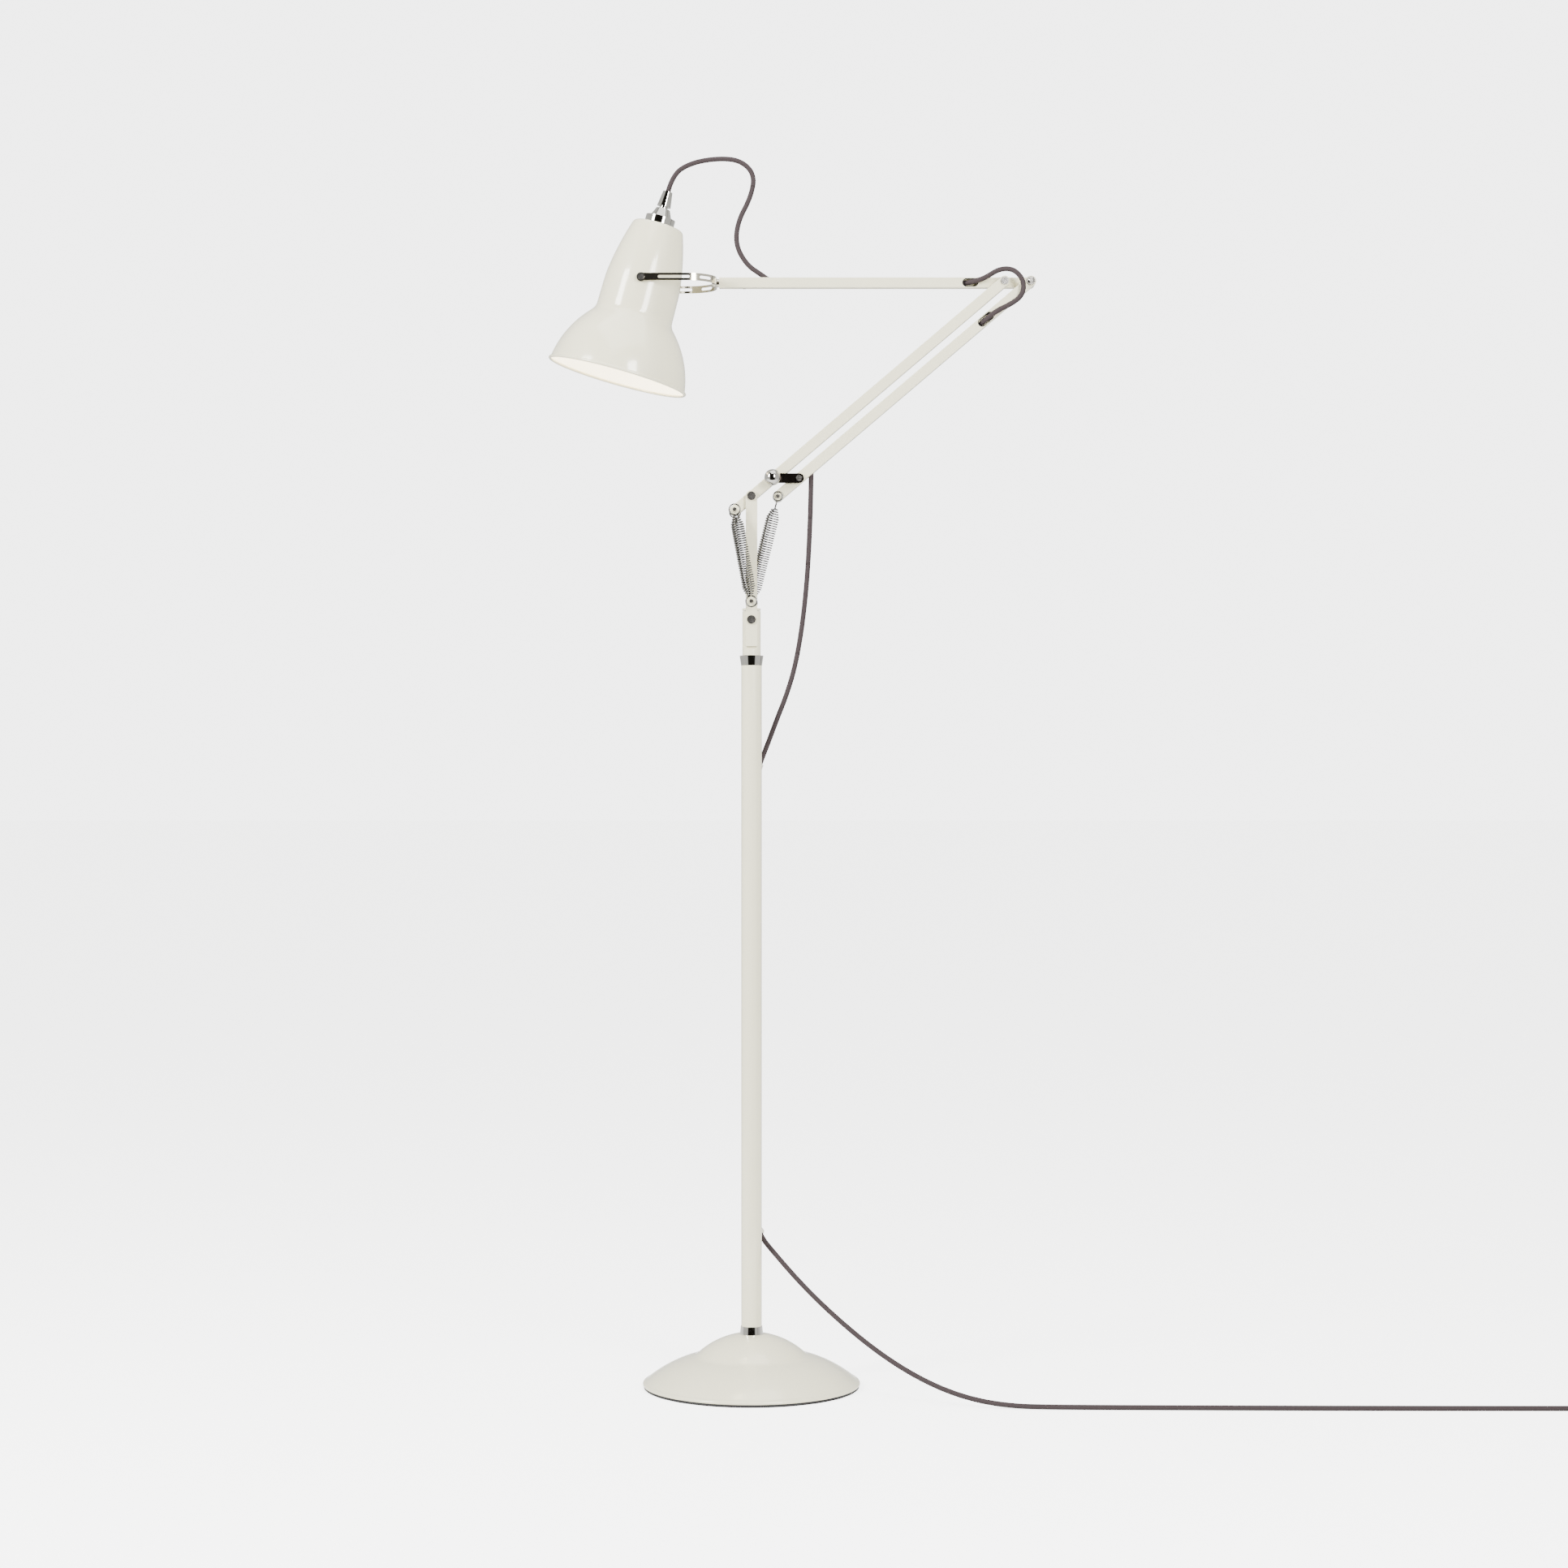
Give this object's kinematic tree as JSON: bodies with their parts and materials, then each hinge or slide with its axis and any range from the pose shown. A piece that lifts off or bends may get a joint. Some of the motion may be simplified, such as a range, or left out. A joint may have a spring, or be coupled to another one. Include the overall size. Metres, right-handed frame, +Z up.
{
  "type": "adjustable arm floor lamp",
  "caption": "Floor lamp with a weighted round base, straight column, sprung folding arm with a parallel rod, forked metal shade and braided cord.",
  "frame": {"origin": "on the floor, on the axis of the column, under the centre of the base", "axes": "+Z up along the column, the arms in the XZ plane with the elbow towards +X and the shade towards -X"},
  "size_m": [1.3263, 0.288, 1.5184],
  "materials": {
    "cord": "braided",
    "glass": "frosted",
    "iron": "rough",
    "paint": "gloss",
    "plastic": "matt",
    "polished": "polished",
    "rubber": "matt",
    "spring": "bright",
    "steel": "satin"
  },
  "bodies": {
    "base": {"foot_pad": "rubber", "base_weight": "iron", "base_cover": "paint", "base_washer": "steel", "base_bolt": "steel", "column_plug": "steel", "column_tube": "paint", "upper_grommet": "rubber", "lower_grommet": "rubber", "base_collar": "polished", "top_collar": "polished", "swivel_bush": "plastic", "drop_cord": "cord", "mains_cord": "cord", "mains_coil": "cord", "plug_body": "plastic", "plug_pins": "steel"},
    "swivel": {"swivel_post": "paint", "post_cap": "paint", "strap_front": "paint", "strap_rear": "paint", "clamp_bolt": "steel", "spring_pin_lower": "steel", "shoulder_pin": "steel", "shoulder_spacers": "steel", "left_spring_front": "spring", "left_spring_rear": "spring", "right_spring_lower": "spring"},
    "lower_arm": {"lower_arm_tube": "paint", "spring_pin_upper": "steel", "knuckle_pin": "steel"},
    "link": {"link_plate": "polished", "link_screw": "steel"},
    "rod": {"rod_tube": "paint", "rod_spring_pin": "steel", "rod_slot_liner": "rubber"},
    "knob": {"ball_knob": "polished"},
    "upper_arm": {"upper_arm_tube": "paint", "arm_slot_liner": "rubber", "elbow_pin": "steel", "elbow_washer": "steel", "arm_end_plug": "plastic", "arm_rivet": "steel", "elbow_cord": "cord", "fork_stud": "polished"},
    "rod_head": {"tail_pin": "steel"},
    "fork": {"fork_bow": "polished"},
    "shade": {"shade_shell": "paint", "lampholder_ring": "polished", "lampholder_body": "plastic", "lampholder_cap": "polished", "cord_grip": "polished", "bulb_glass": "glass", "bulb_base": "steel", "pivot_screws": "steel", "pivot_spacers": "steel", "head_cord": "cord"},
    "left_spring_top": {"left_spring_hooks": "spring"},
    "right_spring_mid": {"right_spring_upper": "spring"},
    "right_spring_top": {"right_spring_hook": "spring"}
  },
  "joints": [
    {"name": "column_swivel", "type": "hinge", "parent": "base", "child": "swivel", "pos_m": [0, 0, 0.9], "axis": [0, 0, 1], "range_deg": [-90, 90], "deforming": ["drop_cord"]},
    {"name": "shoulder", "type": "hinge", "parent": "swivel", "child": "lower_arm", "pos_m": [0, 0, 1.0965], "axis": [0, -1, 0], "range_deg": [-25, 28], "deforming": ["left_spring_front", "left_spring_rear", "right_spring_lower"]},
    {"name": "elbow", "type": "hinge", "parent": "lower_arm", "child": "upper_arm", "pos_m": [0.31147, 0, 1.36158], "axis": [0, 1, 0], "range_deg": [-14, 45], "deforming": ["elbow_cord", "right_spring_upper", "right_spring_hook", "left_spring_hooks"]},
    {"name": "link_turn", "type": "hinge", "parent": "lower_arm", "child": "link", "pos_m": [0.02589, 0, 1.11854], "axis": [0, 1, 0], "range_deg": [-14.5, 45.5]},
    {"name": "rod_turn", "type": "hinge", "parent": "link", "child": "rod", "pos_m": [0.05839, 0, 1.11854], "axis": [0, 1, 0], "range_deg": [-45.5, 14.5]},
    {"name": "knob_turn", "type": "hinge", "parent": "lower_arm", "child": "knob", "pos_m": [0.02589, 0, 1.11854], "axis": [0, 1, 0], "range_deg": [-180, 180]},
    {"name": "rod_head_turn", "type": "hinge", "parent": "upper_arm", "child": "rod_head", "pos_m": [0.34397, 0.0132, 1.36158], "axis": [0, 1, 0], "range_deg": [-45.5, 14.5]},
    {"name": "fork_twist", "type": "hinge", "parent": "upper_arm", "child": "fork", "pos_m": [-0.044, 0.0132, 1.36158], "axis": [1, 0, 0], "range_deg": [-60, 60]},
    {"name": "shade_tilt", "type": "hinge", "parent": "fork", "child": "shade", "pos_m": [-0.1345, 0.0132, 1.36158], "axis": [0, 1, 0], "range_deg": [-40, 40], "deforming": ["head_cord"]},
    {"name": "left_spring_slide", "type": "slide", "parent": "swivel", "child": "left_spring_top", "axis": [0.6615, 0, -0.75], "range_m": [-0.012, 0.0132]},
    {"name": "right_spring_slide", "type": "slide", "parent": "swivel", "child": "right_spring_mid", "axis": [0, 0, 1], "range_m": [-0.014, 0.0157]},
    {"name": "right_hook_slide", "type": "slide", "parent": "right_spring_mid", "child": "right_spring_top", "axis": [0.2425, 0, 0.9701], "range_m": [-0.0262, 0.0088]}
  ],
  "couplings": [
    {"joint": "link_turn", "follows": "elbow", "ratio": 1},
    {"joint": "rod_turn", "follows": "elbow", "ratio": -1},
    {"joint": "rod_head_turn", "follows": "elbow", "ratio": -1},
    {"joint": "left_spring_slide", "follows": "shoulder", "m_per_rad": 0.026},
    {"joint": "right_spring_slide", "follows": "shoulder", "m_per_rad": 0.031},
    {"joint": "right_hook_slide", "follows": "elbow", "m_per_rad": -0.032}
  ]
}
